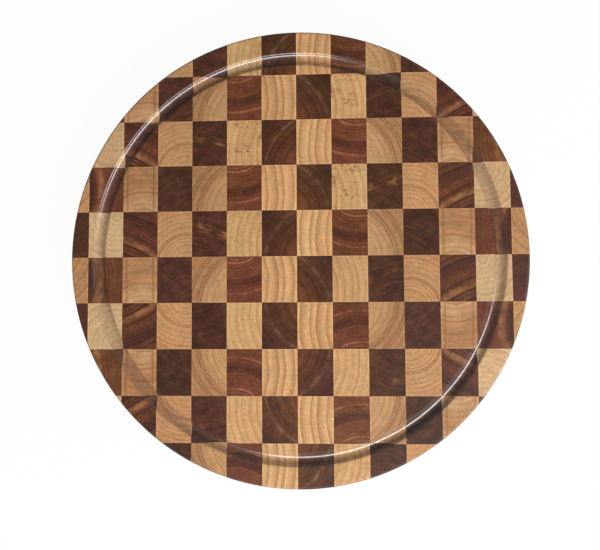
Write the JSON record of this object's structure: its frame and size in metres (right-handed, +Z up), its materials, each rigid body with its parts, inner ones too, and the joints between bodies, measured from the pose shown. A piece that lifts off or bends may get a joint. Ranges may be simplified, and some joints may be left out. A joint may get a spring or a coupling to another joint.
{
  "type": "round chopping block",
  "caption": "Round end-grain chopping block of pale and dark hardwood in a checker pattern, with a round-bottomed juice groove near its rim.",
  "frame": {"origin": "middle of the underside", "axes": "+X along the strips of blocks, +Y across the strips, +Z up from the underside to the chopping face"},
  "size_m": [0.4, 0.4, 0.04],
  "materials": {
    "pale_wood": "oiled, satin",
    "dark_wood": "oiled, satin",
    "glue": "dried wood glue"
  },
  "bodies": {
    "root": {"glue_line_01_to_02": "glue", "glue_line_02_to_03": "glue", "glue_line_03_to_04": "glue", "glue_line_04_to_05": "glue", "glue_line_05_to_06": "glue", "glue_line_06_to_07": "glue", "glue_line_07_to_08": "glue", "glue_line_08_to_09": "glue", "glue_line_09_to_10": "glue", "strip_01_dark_blocks": "dark_wood", "strip_01_glue_lines": "glue", "strip_01_pale_blocks": "pale_wood", "strip_02_dark_blocks": "dark_wood", "strip_02_glue_lines": "glue", "strip_02_pale_blocks": "pale_wood", "strip_03_dark_blocks": "dark_wood", "strip_03_glue_lines": "glue", "strip_03_pale_blocks": "pale_wood", "strip_04_dark_blocks": "dark_wood", "strip_04_glue_lines": "glue", "strip_04_pale_blocks": "pale_wood", "strip_05_dark_blocks": "dark_wood", "strip_05_glue_lines": "glue", "strip_05_pale_blocks": "pale_wood", "strip_06_dark_blocks": "dark_wood", "strip_06_glue_lines": "glue", "strip_06_pale_blocks": "pale_wood", "strip_07_dark_blocks": "dark_wood", "strip_07_glue_lines": "glue", "strip_07_pale_blocks": "pale_wood", "strip_08_dark_blocks": "dark_wood", "strip_08_glue_lines": "glue", "strip_08_pale_blocks": "pale_wood", "strip_09_dark_blocks": "dark_wood", "strip_09_glue_lines": "glue", "strip_09_pale_blocks": "pale_wood", "strip_10_dark_blocks": "dark_wood", "strip_10_glue_lines": "glue", "strip_10_pale_blocks": "pale_wood"}
  },
  "joints": []
}
